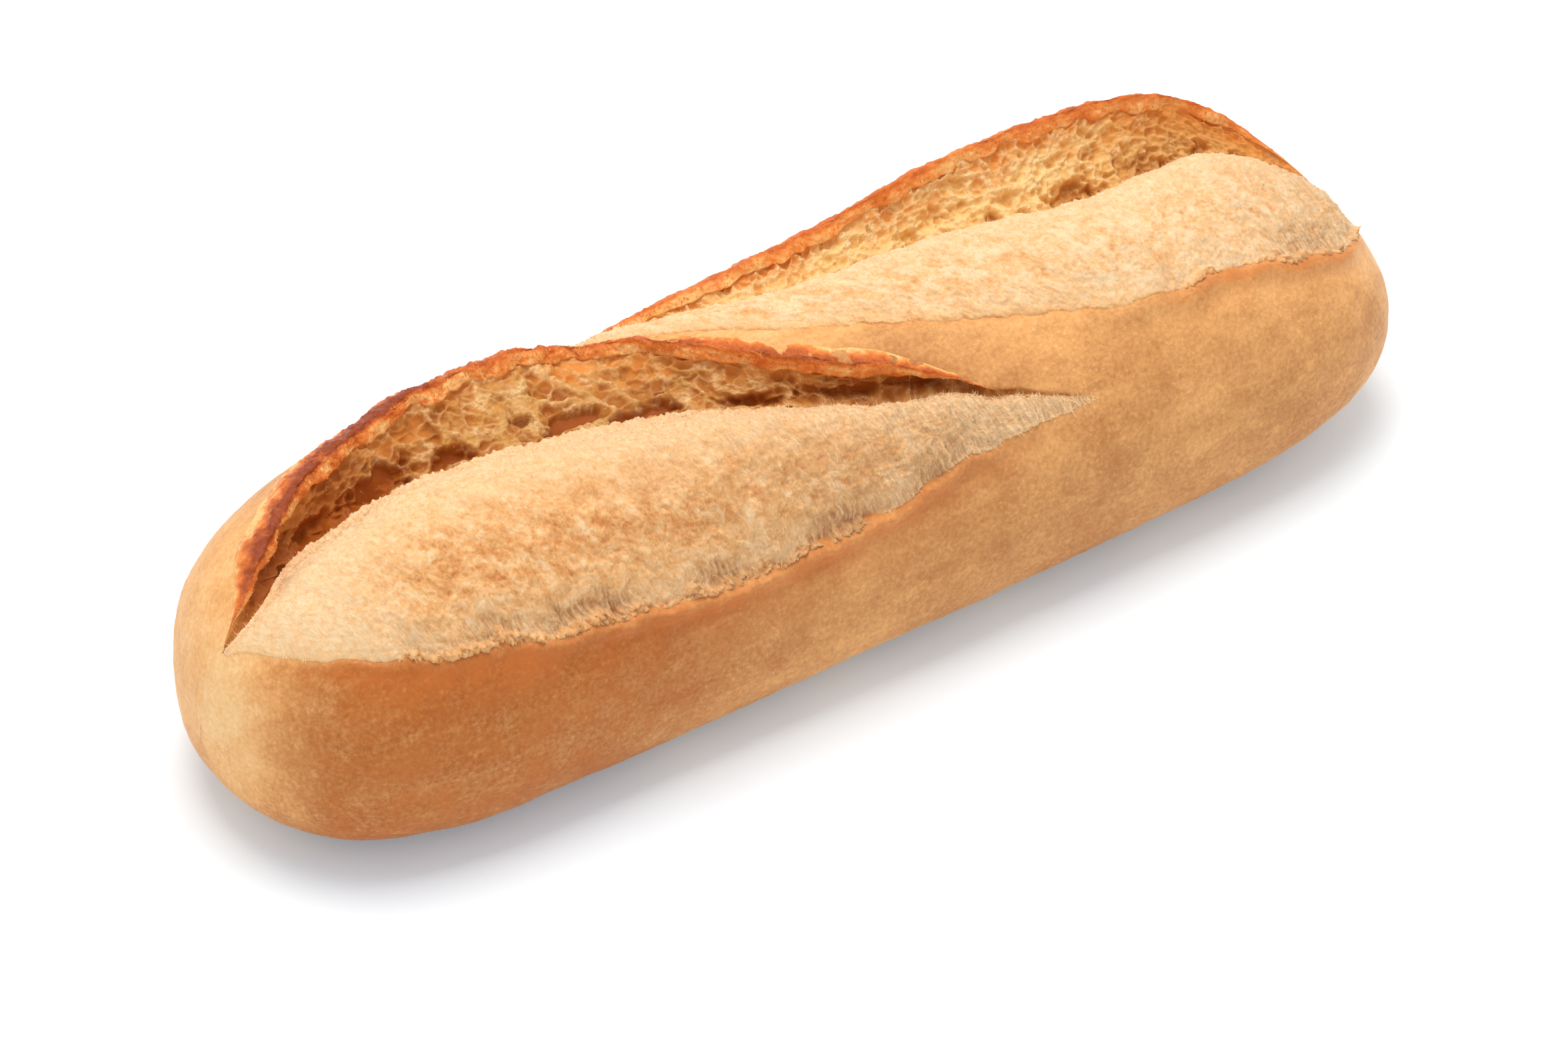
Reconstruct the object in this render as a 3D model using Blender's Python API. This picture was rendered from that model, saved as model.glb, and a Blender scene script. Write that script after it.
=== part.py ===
"""A short baguette with two long cuts, as one solid loaf.

The loaf lies along X and rests on its flat base at z = 0. Its front is -Y. The first cut opens along the front
of the left half and runs over the top towards the right. The second opens along the right half. Each cut has a
low front lip, a dome of crumb that swelled out of it, a crease behind the dome, and a flap of crust, the ear,
that the oven lifted on the far side.
"""
import bmesh
import bpy
import math

# Uncut loaf, in metres.
LENGTH = 0.240
WIDTH = 0.0727
HEIGHT = 0.0555           # of the round loaf, before its base is flattened
WAIST = 0.40 * HEIGHT     # height of its widest line
FLATTENED = 0.002         # how much the oven floor takes off the bottom
TOP_ROUND = 2.2           # section exponents: 2 is an ellipse, more is squarer
BOTTOM_ROUND = 2.7
# End rounding (exponent, root), seen from above and from the side.
LEFT_PLAN = (7.75, 1.83)
LEFT_SIDE = (7.0, 2.8)
RIGHT_PLAN = (6.73, 3.1)
RIGHT_SIDE = (4.94, 2.06)

# What each cut does to the crust, in metres.
LIP_RISE = 0.0008         # the front edge curls up a little
CRUMB_BULGE = 0.0022      # how far the crumb swells out of the cut
CREASE_DEPTH = 0.0060     # how far it drops behind the dome

# The lines of each cut: (x in metres, place across the loaf from -1 at the front edge to 1 at the back edge).
LIP_1 = ((-0.120, -0.30), (-0.1155, -0.28), (-0.110, -0.50), (-0.102, -0.64), (-0.092, -0.73), (-0.058, -0.86),
         (-0.028, -0.90), (0.005, -0.89), (0.028, -0.85), (0.050, -0.88), (0.120, -0.90))
CREASE_1 = ((-0.120, -0.12), (-0.115, -0.15), (-0.097, 0.18), (-0.072, 0.28), (-0.040, 0.12), (-0.022, -0.06),
            (-0.010, -0.22), (0.010, -0.47), (0.030, -0.73), (0.050, -0.80), (0.120, -0.80))
RIM_1 = ((-0.120, 0.10), (-0.115, -0.05), (-0.104, 0.26), (-0.085, 0.58), (-0.060, 0.64), (-0.036, 0.63),
         (-0.026, 0.54), (-0.014, 0.16), (0.003, -0.23), (0.017, -0.46), (0.026, -0.66), (0.036, -0.74),
         (0.050, -0.72), (0.120, -0.70))
LIP_2 = ((-0.120, 0.40), (-0.060, 0.74), (-0.034, 0.72), (-0.020, 0.50), (-0.004, 0.22), (0.020, -0.18),
         (0.044, -0.48), (0.060, -0.57), (0.080, -0.59), (0.099, -0.66), (0.120, -0.60))
CREASE_2 = ((-0.120, 0.60), (-0.060, 0.83), (-0.030, 0.79), (-0.010, 0.58), (0.008, 0.38), (0.043, 0.36),
            (0.058, 0.26), (0.090, 0.30), (0.104, 0.14), (0.114, -0.10), (0.120, -0.20))
RIM_2 = ((-0.120, 0.80), (-0.060, 0.92), (-0.026, 0.80), (0.000, 0.71), (0.034, 0.655), (0.080, 0.63),
         (0.098, 0.56), (0.108, 0.44), (0.114, 0.25), (0.120, 0.10))
# How wide open each cut is along the loaf, and how high its ear stands above the uncut crust, in metres.
OPEN_1 = ((-0.120, 0.0), (-0.1165, 0.0), (-0.100, 0.8), (-0.085, 1.0), (0.012, 1.0), (0.030, 0.5), (0.044, 0.0),
          (0.120, 0.0))
OPEN_2 = ((-0.120, 0.0), (-0.030, 0.0), (0.000, 0.6), (0.030, 1.0), (0.098, 1.0), (0.110, 0.7), (0.1185, 0.0),
          (0.120, 0.0))
EAR_1 = ((-0.120, 0.0), (-0.1165, 0.0), (-0.105, 0.0022), (-0.092, 0.0035), (-0.078, 0.0052), (-0.060, 0.0076),
         (-0.044, 0.0074), (-0.034, 0.0046), (-0.028, 0.0022), (0.014, 0.0020), (0.036, 0.0008), (0.046, 0.0),
         (0.120, 0.0))
EAR_2 = ((-0.120, 0.0), (-0.030, 0.0), (0.000, 0.0018), (0.020, 0.0043), (0.050, 0.0088), (0.078, 0.0098),
         (0.089, 0.0098), (0.098, 0.0074), (0.106, 0.0040), (0.112, 0.0012), (0.1185, 0.0), (0.120, 0.0))

# Mesh density: rings along the loaf, and points around each ring by stretch of the section.
RINGS = 88
FRONT, DOME, WALL, BRIDGE, BACK, UNDERSIDE = 5, 9, 3, 4, 6, 15

CRUST_COLOUR = (0.62, 0.30, 0.10)   # linear RGB
CRUST_ROUGHNESS = 0.55


def curve(points, x):
    """Height at x of a smooth curve through the points, with no overshoot between them."""
    if x <= points[0][0]:
        return points[0][1]
    for (x0, y0), (x1, y1) in zip(points, points[1:]):
        if x <= x1:
            t = (x - x0) / (x1 - x0)
            before = slope(points, x0) * (x1 - x0)
            after = slope(points, x1) * (x1 - x0)
            return ((2 * t - 3) * t * t + 1) * y0 + ((t - 2) * t + 1) * t * before \
                + (3 - 2 * t) * t * t * y1 + (t - 1) * t * t * after
    return points[-1][1]


def slope(points, x):
    """Slope of that curve at one of its points: zero at a peak, the gentler harmonic mean elsewhere."""
    place = [px for px, _ in points].index(x)
    if place in (0, len(points) - 1):
        return 0.0
    (x0, y0), (x1, y1), (x2, y2) = points[place - 1:place + 2]
    left = (y1 - y0) / (x1 - x0)
    right = (y2 - y1) / (x2 - x1)
    return 2 * left * right / (left + right) if left * right > 0 else 0.0


def ease(low, high, value):
    """0 below low, 1 above high, smooth between."""
    t = min(max((value - low) / (high - low), 0.0), 1.0)
    return t * t * (3 - 2 * t)


def taper(x, left, right):
    """Share of the full width or height that is left at x, by the rounding of the nearer end."""
    power, root = left if x < 0 else right
    return max(1 - abs(2 * x / LENGTH) ** power, 0.0) ** (1 / root)


def angle_at(place):
    """Angle around the section of a place across the top: 0 at the back edge, pi at the front edge."""
    return math.acos(math.copysign(abs(place) ** (TOP_ROUND / 2), place))


def uncut(x, angle):
    """Point and outward direction (y, z) of the uncut loaf's section at x."""
    side, up = math.cos(angle), math.sin(angle)
    power = TOP_ROUND if up >= 0 else BOTTOM_ROUND
    half = WIDTH / 2 * taper(x, LEFT_PLAN, RIGHT_PLAN)
    rise = (HEIGHT - WAIST if up >= 0 else WAIST) * taper(x, LEFT_SIDE, RIGHT_SIDE)
    y = math.copysign(abs(side) ** (2 / power), side)
    z = math.copysign(abs(up) ** (2 / power), up)
    out_y = math.copysign(abs(y) ** (power - 1) / half, y)
    out_z = math.copysign(abs(z) ** (power - 1) / rise, z)
    size = math.hypot(out_y, out_z)
    return (half * y, WAIST + rise * z), (out_y / size, out_z / size)


def crumb_swell(t):
    """Swell of the crumb from the lip (0) to the crease (1), as shares of the bulge and of the crease's depth."""
    across = min(t / 0.85, 1.0)
    return 4 * across * (1 - across), ease(0.66, 1.0, t)


def section(x):
    """Points (y, z) around the loaf at x, from the front edge over the top, down the back and along the base."""
    opened = (curve(OPEN_1, x), curve(OPEN_2, x))
    ears = (curve(EAR_1, x), curve(EAR_2, x))
    lips = [angle_at(curve(line, x)) for line in (LIP_1, LIP_2)]
    creases = [angle_at(curve(line, x)) for line in (CREASE_1, CREASE_2)]
    rims = [angle_at(curve(line, x)) for line in (RIM_1, RIM_2)]
    # The first ear leans on the whole back where the second cut is shut, and only on the bridge where it is open.
    behind_rim_1 = rims[0] + (rims[0] - lips[1] - rims[0]) * opened[1]
    stations = []       # (angle, outward move, upward move)

    def ear_behind(angle):
        """Lift of the crust behind the ears."""
        first = ears[0] * max(1 - (rims[0] - angle) / behind_rim_1, 0.0) if angle <= rims[0] else 0.0
        second = ears[1] * max(angle / rims[1], 0.0) if angle <= rims[1] else 0.0
        return first + second

    for i in range(FRONT):
        t = i / FRONT
        stations.append((math.pi + (lips[0] - math.pi) * t, LIP_RISE * opened[0] * t ** 4, 0.0))
    for cut in (0, 1):
        for i in range(DOME):
            t = i / DOME
            angle = lips[cut] + (creases[cut] - lips[cut]) * t
            bulge, drop = crumb_swell(t)
            out = CRUMB_BULGE * bulge if i else LIP_RISE
            stations.append((angle, out * opened[cut], ear_behind(angle) - CREASE_DEPTH * drop * opened[cut]))
        for i in range(WALL):
            t = i / WALL
            angle = creases[cut] + (rims[cut] - creases[cut]) * t
            low = ear_behind(angle) - CREASE_DEPTH * opened[cut]
            stations.append((angle, 0.0, low + (ears[cut] - low) * t))
        if cut == 0:
            for i in range(BRIDGE):
                angle = rims[0] + (lips[1] - rims[0]) * i / BRIDGE
                stations.append((angle, 0.0, ear_behind(angle)))
    for i in range(BACK):
        angle = rims[1] * (1 - i / BACK)
        stations.append((angle, 0.0, ear_behind(angle)))
    for i in range(UNDERSIDE):
        stations.append((-math.pi * i / UNDERSIDE, 0.0, 0.0))

    points = []
    for angle, out, up in stations:
        (y, z), (out_y, out_z) = uncut(x, angle)
        points.append((y + out * out_y, max(z + out * out_z + up - FLATTENED, 0.0)))
    return points


def baked_dough():
    """The crust's material."""
    material = bpy.data.materials.new("loaf")
    material.use_nodes = True
    surface = material.node_tree.nodes["Principled BSDF"]
    surface.inputs["Base Color"].default_value = (*CRUST_COLOUR, 1.0)
    surface.inputs["Roughness"].default_value = CRUST_ROUGHNESS
    surface.inputs["Metallic"].default_value = 0.0
    return material


def loaf():
    """The whole loaf: rings of points from end to end, joined by quads, with each end drawn to a point."""
    shape = bmesh.new()
    rings = []
    for i in range(1, RINGS + 1):
        x = LENGTH / 2 * math.sin(math.pi * (i / (RINGS + 1) - 0.5))
        rings.append([shape.verts.new((x, y, z)) for y, z in section(x)])
    ends = [shape.verts.new((x, 0.0, WAIST - FLATTENED)) for x in (-LENGTH / 2, LENGTH / 2)]
    around = len(rings[0])
    for one, two in zip(rings, rings[1:]):
        for j in range(around):
            k = (j + 1) % around
            shape.faces.new((one[j], one[k], two[k], two[j]))
    for j in range(around):
        k = (j + 1) % around
        shape.faces.new((rings[0][k], rings[0][j], ends[0]))
        shape.faces.new((rings[-1][j], rings[-1][k], ends[1]))
    bmesh.ops.recalc_face_normals(shape, faces=shape.faces)
    mesh = bpy.data.meshes.new("loaf")
    shape.to_mesh(mesh)
    shape.free()
    mesh.shade_smooth()
    mesh.set_sharp_from_angle(angle=math.radians(50))
    mesh.materials.append(baked_dough())
    body = bpy.data.objects.new("loaf", mesh)
    bpy.context.scene.collection.objects.link(body)


for old in list(bpy.data.objects):
    bpy.data.objects.remove(old, do_unlink=True)
loaf()
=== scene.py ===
"""A short baguette with two long cuts, on a plain pale floor.

The loaf lies along X on its flat base, with its front at -Y. Each cut opened in the oven: its front lip
curled up, crumb swelled out of it as a dome, and the crust on its far side lifted into an ear with a torn
wall under it. Metres throughout. `across` is a place over the top of the loaf, from -1 at the front edge to 1
at the back edge. Where a name holds values for both cuts, those of the near cut, on the left half, come
first. In the sums, a term times `cut` is for the far cut alone, and one times `1 - cut` for the near one.
"""
import math

import bmesh
import bpy
import numpy as np
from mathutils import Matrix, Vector


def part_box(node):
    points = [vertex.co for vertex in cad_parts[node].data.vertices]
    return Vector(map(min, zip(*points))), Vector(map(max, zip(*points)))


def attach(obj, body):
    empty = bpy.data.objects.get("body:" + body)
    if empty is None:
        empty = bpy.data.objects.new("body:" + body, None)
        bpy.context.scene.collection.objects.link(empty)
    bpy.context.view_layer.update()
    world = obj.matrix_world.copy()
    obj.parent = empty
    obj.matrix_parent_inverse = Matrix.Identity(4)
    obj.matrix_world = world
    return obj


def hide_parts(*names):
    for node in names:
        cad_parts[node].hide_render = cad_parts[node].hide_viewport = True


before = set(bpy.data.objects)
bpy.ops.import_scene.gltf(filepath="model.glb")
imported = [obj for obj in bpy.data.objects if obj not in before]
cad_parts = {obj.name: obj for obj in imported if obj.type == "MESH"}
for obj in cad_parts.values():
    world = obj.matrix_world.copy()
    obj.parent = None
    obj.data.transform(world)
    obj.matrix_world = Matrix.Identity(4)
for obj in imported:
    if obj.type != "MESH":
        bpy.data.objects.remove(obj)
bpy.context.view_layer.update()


# ------------------------------------------------------------------------------
# The crust. A thin, smooth skin of baked dough all round the loaf, pale straw at the left end and golden
# to orange-brown elsewhere, with fine blisters. It is one closed skin that folds down into both cuts.

loaf_low, loaf_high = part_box("loaf")
LENGTH = loaf_high[0] - loaf_low[0]
WIDTH = loaf_high[1] - loaf_low[1]
HEIGHT = 0.0555           # of the round loaf, before its base is flattened
WAIST = 0.40 * HEIGHT     # height of its widest line
FLATTENED = 0.002         # how much the oven floor takes off the bottom
TOP_ROUND = 2.2           # section exponents: 2 is an ellipse, more is squarer
BOTTOM_ROUND = 2.7
LEFT_PLAN = (7.75, 1.83)  # end rounding (exponent, root), from above and from the side
LEFT_SIDE = (7.0, 2.8)
RIGHT_PLAN = (6.73, 3.1)
RIGHT_SIDE = (4.94, 2.06)
LIP_RISE = 0.0020         # how far the front lips curl up at most
RIDGE_WIDTH = (0.042, 0.060)    # of the curled lips, as an angle round the section
CREASE_DEPTH = 0.0060     # how far each cut drops behind its dome
DROP_FROM = 0.66          # share of the way from lip to crease at which it starts to drop
DOUGH = (0.0016, 0.0062)  # thickness of dough behind a torn wall at its rim, and how much more at its crease
SWELLS = ((0.0005, 0.045), (0.00022, 0.014))    # height and size of the broad swells, and of the lumps

# The lines of both cuts: (x, across).
LIPS = (((-0.120, -0.30), (-0.1155, -0.28), (-0.110, -0.50), (-0.102, -0.64), (-0.092, -0.73),
         (-0.058, -0.86), (-0.028, -0.90), (-0.002, -0.888), (0.011, -0.858), (0.022, -0.830),
         (0.030, -0.829), (0.038, -0.835), (0.044, -0.830), (0.050, -0.89), (0.120, -0.90)),
        ((-0.120, 0.40), (-0.060, 0.74), (-0.034, 0.70), (-0.020, 0.43), (-0.004, 0.12), (0.020, -0.21),
         (0.044, -0.48), (0.060, -0.57), (0.080, -0.59), (0.099, -0.66), (0.120, -0.60)))
CREASES = (((-0.120, -0.12), (-0.115, -0.15), (-0.097, 0.18), (-0.072, 0.28), (-0.040, 0.12),
            (-0.022, -0.06), (-0.010, -0.22), (0.010, -0.47), (0.020, -0.575), (0.026, -0.685),
            (0.030, -0.715), (0.036, -0.772), (0.044, -0.822), (0.120, -0.82)),
           ((-0.120, 0.60), (-0.060, 0.83), (-0.030, 0.79), (-0.010, 0.58), (0.008, 0.38), (0.043, 0.36),
            (0.058, 0.26), (0.090, 0.30), (0.104, 0.14), (0.114, -0.10), (0.120, -0.20)))
RIMS = (((-0.120, 0.10), (-0.115, -0.05), (-0.104, 0.15), (-0.085, 0.48), (-0.060, 0.62), (-0.036, 0.63),
         (-0.026, 0.52), (-0.014, 0.12), (0.003, -0.26), (0.017, -0.49), (0.026, -0.67), (0.030, -0.70),
         (0.036, -0.765), (0.044, -0.815), (0.050, -0.75), (0.120, -0.74)),
        ((-0.120, 0.80), (-0.060, 0.92), (-0.026, 0.80), (0.000, 0.71), (0.034, 0.655), (0.080, 0.63),
         (0.098, 0.56), (0.108, 0.44), (0.114, 0.25), (0.120, 0.10)))
# How wide open each cut is along the loaf, and how high its ear stands over the uncut crust.
OPENINGS = (((-0.120, 0.0), (-0.1165, 0.0), (-0.100, 0.8), (-0.085, 1.0), (0.004, 1.0), (0.018, 0.55),
             (0.027, 0.18), (0.034, 0.08), (0.044, 0.0), (0.120, 0.0)),
            ((-0.120, 0.0), (-0.030, 0.0), (0.000, 0.6), (0.030, 1.0), (0.098, 1.0), (0.110, 0.7),
             (0.1185, 0.0), (0.120, 0.0)))
EARS = (((-0.120, 0.0), (-0.1165, 0.0), (-0.105, 0.0018), (-0.092, 0.0031), (-0.078, 0.0047),
         (-0.060, 0.0069), (-0.044, 0.0066), (-0.034, 0.0026), (-0.028, 0.0002), (0.010, 0.0002),
         (0.026, 0.0), (0.120, 0.0)),
        ((-0.120, 0.0), (-0.030, 0.0), (-0.010, 0.0014), (0.000, 0.0026), (0.020, 0.0046), (0.050, 0.0085),
         (0.078, 0.0094), (0.089, 0.0094), (0.098, 0.0071), (0.106, 0.0038), (0.112, 0.0011), (0.1185, 0.0),
         (0.120, 0.0)))
# How fully each ear's rim is baked along the loaf.
BAKED = (((-0.120, 0.0), (-0.1150, 0.0), (-0.104, 1.0), (0.006, 1.0), (0.028, 0.0), (0.120, 0.0)),
         ((-0.120, 0.0), (-0.0290, 0.0), (-0.015, 1.0), (0.102, 1.0), (0.1165, 0.0), (0.120, 0.0)))
TIPS = ((-0.1160, 0.0435), (-0.0295, 0.1185))   # where each cut starts and ends
TIP_LENGTHS = (0.003, 0.005)    # over which its lines part at its start, and close at its end
TIP_SPREAD = 0.08         # how far apart they still are at its tips
LIP_WANDER = 0.030        # how far the torn edges stray, as an angle round the section
RIM_WANDER = 0.020
WANDER_SIZE = 0.009


def curve(points, x):
    """A smooth curve through the points, with no overshoot between them, read at every x."""
    px, py = np.array(points).T
    steps = np.diff(px)
    slopes = np.diff(py) / steps
    same_way = slopes[:-1] * slopes[1:] > 0
    mean = 2 * slopes[:-1] * slopes[1:] / np.where(same_way, slopes[:-1] + slopes[1:], 1.0)
    tangents = np.concatenate([[0.0], np.where(same_way, mean, 0.0), [0.0]])
    x = np.clip(x, px[0], px[-1])
    i = np.clip(np.searchsorted(px, x) - 1, 0, len(steps) - 1)
    t = (x - px[i]) / steps[i]
    return ((2 * t - 3) * t * t + 1) * py[i] + ((t - 2) * t + 1) * t * steps[i] * tangents[i] \
        + (3 - 2 * t) * t * t * py[i + 1] + (t - 1) * t * t * steps[i] * tangents[i + 1]


def ease(low, high, value):
    """0 below low, 1 above high, smooth between."""
    t = np.clip((value - low) / (high - low), 0.0, 1.0)
    return t * t * (3 - 2 * t)


def scattered(cells, seed):
    """A random whole number, 0 to 65535, for each whole-numbered cell (..., axes)."""
    mixed = np.full(cells.shape[:-1], seed * 7919 + 97, np.uint32)
    for axis in range(cells.shape[-1]):
        mixed = (mixed ^ cells[..., axis].astype(np.int32).astype(np.uint32)) * np.uint32(0x9E3779B1)
        mixed ^= mixed >> np.uint32(15)
        mixed *= np.uint32(0x85EBCA77)
        mixed ^= mixed >> np.uint32(13)
    return (mixed & np.uint32(0xFFFF)).astype(np.int32)


SLOPES = np.random.default_rng(7).uniform(-1, 1, (65536, 3))


def swirl(points, size, seed, layers=1, gain=0.5):
    """Smooth noise, about -1 to 1, at points (..., axes) with lumps of the given size."""
    points = np.asarray(points) / np.asarray(size)
    axes = points.shape[-1]
    total = np.zeros(points.shape[:-1])
    for layer in range(layers):
        place = points * 2.03 ** layer + 11.7 * layer
        cell = np.floor(place)
        f = place - cell
        w = f * f * f * (f * (f * 6 - 15) + 10)
        for corner in range(2 ** axes):
            offset = [(corner >> a) & 1 for a in range(axes)]
            slope = SLOPES[scattered(cell + offset, seed + 101 * layer)]
            share = 2.0 * gain ** layer
            dot = 0.0
            for a in range(axes):
                share = share * (w[..., a] if offset[a] else 1 - w[..., a])
                dot = dot + slope[..., a] * (f[..., a] - offset[a])
            total += share * dot
    return total


def taper(x, left, right):
    """Share of the full width or height that is left at x, by the rounding of the nearer end."""
    power = np.where(x < 0, left[0], right[0])
    root = np.where(x < 0, left[1], right[1])
    return np.clip(1 - np.abs(2 * x / LENGTH) ** power, 0.0, 1.0) ** (1 / root)


def angle_at(across):
    """Angle around the section of a place across the top: 0 at the back edge, pi at the front edge."""
    return np.arccos(np.sign(across) * np.abs(across) ** (TOP_ROUND / 2))


def cut_line(lines, cut, x, wander=0.0, seed=0):
    """Angle of one of a cut's lines at x. The lines draw together at the cut's tips, and a torn edge strays a
    little to and fro."""
    opened = np.minimum(curve(OPENINGS[cut], x) * 2, 1)
    middle = (curve(LIPS[cut], x) + curve(RIMS[cut], x)) / 2
    first, last = TIPS[cut]
    parted = np.clip((x - first) / TIP_LENGTHS[0], 0, 1) * np.clip((last - x) / TIP_LENGTHS[1], 0, 1)
    spread = TIP_SPREAD + (1 - TIP_SPREAD) * np.sqrt(parted)
    places = np.stack([x, np.full_like(x, 0.37)], -1)
    stray = swirl(places, WANDER_SIZE, seed, layers=3) * wander
    return angle_at(middle + (curve(lines[cut], x) - middle) * spread) + stray * opened


def uncut(x, angle):
    """Points of the uncut loaf (..., 3) at x and angle, and the outward direction in the section."""
    side, up = np.cos(angle), np.sin(angle)
    power = np.where(up >= 0, TOP_ROUND, BOTTOM_ROUND)
    half = np.maximum(WIDTH / 2 * taper(x, LEFT_PLAN, RIGHT_PLAN), 1e-5)
    rise = np.maximum(np.where(up >= 0, HEIGHT - WAIST, WAIST) * taper(x, LEFT_SIDE, RIGHT_SIDE), 1e-5)
    y = np.sign(side) * np.abs(side) ** (2 / power)
    z = np.sign(up) * np.abs(up) ** (2 / power)
    out = np.stack([np.zeros_like(y), np.sign(y) * np.abs(y) ** (power - 1) / half,
                    np.sign(z) * np.abs(z) ** (power - 1) / rise], -1)
    out /= np.linalg.norm(out, axis=-1, keepdims=True)
    return np.stack([x, half * y, WAIST + rise * z - FLATTENED], -1), out


def ear_lift(x, angle):
    """How far the crust behind each cut's rim is lifted with its ear."""
    rims = [cut_line(RIMS, cut, x, RIM_WANDER, 15 + cut) + 1e-6 for cut in (0, 1)]
    leans = rims[0] + (-cut_line(LIPS, 1, x)) * curve(OPENINGS[1], x)
    first = np.where(angle <= rims[0], np.clip(1 - (rims[0] - angle) / leans, 0, 1), 0)
    second = np.where(angle <= rims[1], np.clip(angle / rims[1], 0, 1), 0)
    return first * curve(EARS[0], x), second * curve(EARS[1], x)


def loaf_point(x, angle, out=0.0, up=0.0):
    """Point of the loaf with its ears raised, moved outward and up by the given amounts. The dough is never
    quite even: it has broad swells, and small lumps on them."""
    place, outward = uncut(x, angle)
    first, second = ear_lift(x, angle)
    (swell, broad), (lump, small) = SWELLS
    swells = swell * swirl(place, broad, 3) + lump * swirl(place, small, 4, layers=2)
    place = place + outward * (out + swells)[..., None]
    place[..., 2] += up + np.where(np.sin(angle) > 0, first + second, 0.0)
    return place


def lip_curl(cut, x):
    """How far a cut's front lip curls up. It curls most where the dough was stretched most."""
    ragged = 1 + 0.5 * swirl(np.stack([x, 0 * x], -1), 0.007, 37 + cut, 2)
    stretched = (0.25 + 0.75 * ease(-0.085, -0.045, x), 0.2 + 0.5 * ease(0.045, 0.075, x))[cut]
    return LIP_RISE * curve(OPENINGS[cut], x) * ragged * stretched


def lip_ridge(cut, x, angle, lip):
    """Height of the rounded ridge that runs along a cut's front lip."""
    below = (angle - lip) / RIDGE_WIDTH[cut]
    return lip_curl(cut, x) * np.exp(-np.where(below > 0, below - 1, 1.6 * below - 1) ** 2)


def torn_face(cut, x, t):
    """Points of a cut's torn wall before its holes, from the crease (t = 0) up to the rim (t = 1), its
    outward direction there, and how thick the dough behind it is."""
    opened = curve(OPENINGS[cut], x)
    low = loaf_point(x, cut_line(CREASES, cut, x), 0.0, -CREASE_DEPTH * opened)
    high = loaf_point(x, cut_line(RIMS, cut, x, RIM_WANDER, 15 + cut))
    side = np.cross(np.gradient(low + high, axis=0), high - low)
    side /= np.maximum(np.linalg.norm(side, axis=-1, keepdims=True), 1e-12)
    thick = (DOUGH[0] + DOUGH[1] * (1 - t)) * np.minimum(opened * 2, 1)
    return low + (high - low) * t[..., None], side, thick


def outward_sides(points):
    """Outward direction at each point of a closed skin given as rings (rings, around, 3)."""
    along = np.gradient(points, axis=0)
    around = np.roll(points, -1, axis=1) - np.roll(points, 1, axis=1)
    side = np.cross(along, around)
    return side / np.maximum(np.linalg.norm(side, axis=-1, keepdims=True), 1e-12)


def in_scene(name, data):
    """A new object with that mesh, lamp or camera in the scene."""
    made = bpy.data.objects.new(name, data)
    bpy.context.scene.collection.objects.link(made)
    return made


def closed_skin(name, points, ends, values):
    """A grid rolled up into a closed skin. Its rows go onto the rings of points (rings, around, 3), left to
    right, its first and last rows draw together at the two ends, and its sides join. values is what the
    finish reads from the mesh, as {attribute: numbers}."""
    rings, around = points.shape[:2]
    sheet = bmesh.new()
    bmesh.ops.create_grid(sheet, x_segments=rings + 1, y_segments=around, size=1.0)
    mesh = bpy.data.meshes.new(name)
    sheet.to_mesh(mesh)
    place = np.empty(len(mesh.vertices) * 3)
    mesh.vertices.foreach_get("co", place)
    place = place.reshape(-1, 3)
    ring = np.rint((place[:, 0] + 1) / 2 * (rings + 1)).astype(int) - 1
    step = np.rint((place[:, 1] + 1) / 2 * around).astype(int) % around
    inner = np.clip(ring, 0, rings - 1)
    place = points[inner, step]
    place[ring < 0] = ends[0]
    place[ring >= rings] = ends[1]
    mesh.vertices.foreach_set("co", place.ravel())
    for label, numbers in values.items():
        held = mesh.attributes.new(label, "FLOAT", "POINT")
        spread = np.broadcast_to(numbers, (rings, around))
        held.data.foreach_set("value", spread[inner, step].astype(np.float32))
    sheet.clear()
    sheet.from_mesh(mesh)
    joined = (ring < 0) | (ring >= rings) | (step == 0)
    seam = [vert for vert, meets in zip(sheet.verts, joined) if meets]
    bmesh.ops.remove_doubles(sheet, verts=seam, dist=1e-8)
    sheet.to_mesh(mesh)
    sheet.free()
    mesh.shade_smooth()
    return in_scene(name, mesh)


def stretches(*parts):
    """Steps around a ring: for each (count, start, end), even steps from start up to just before end."""
    return np.concatenate([start + (end - start) * np.arange(count) / count for count, start, end in parts])


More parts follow.
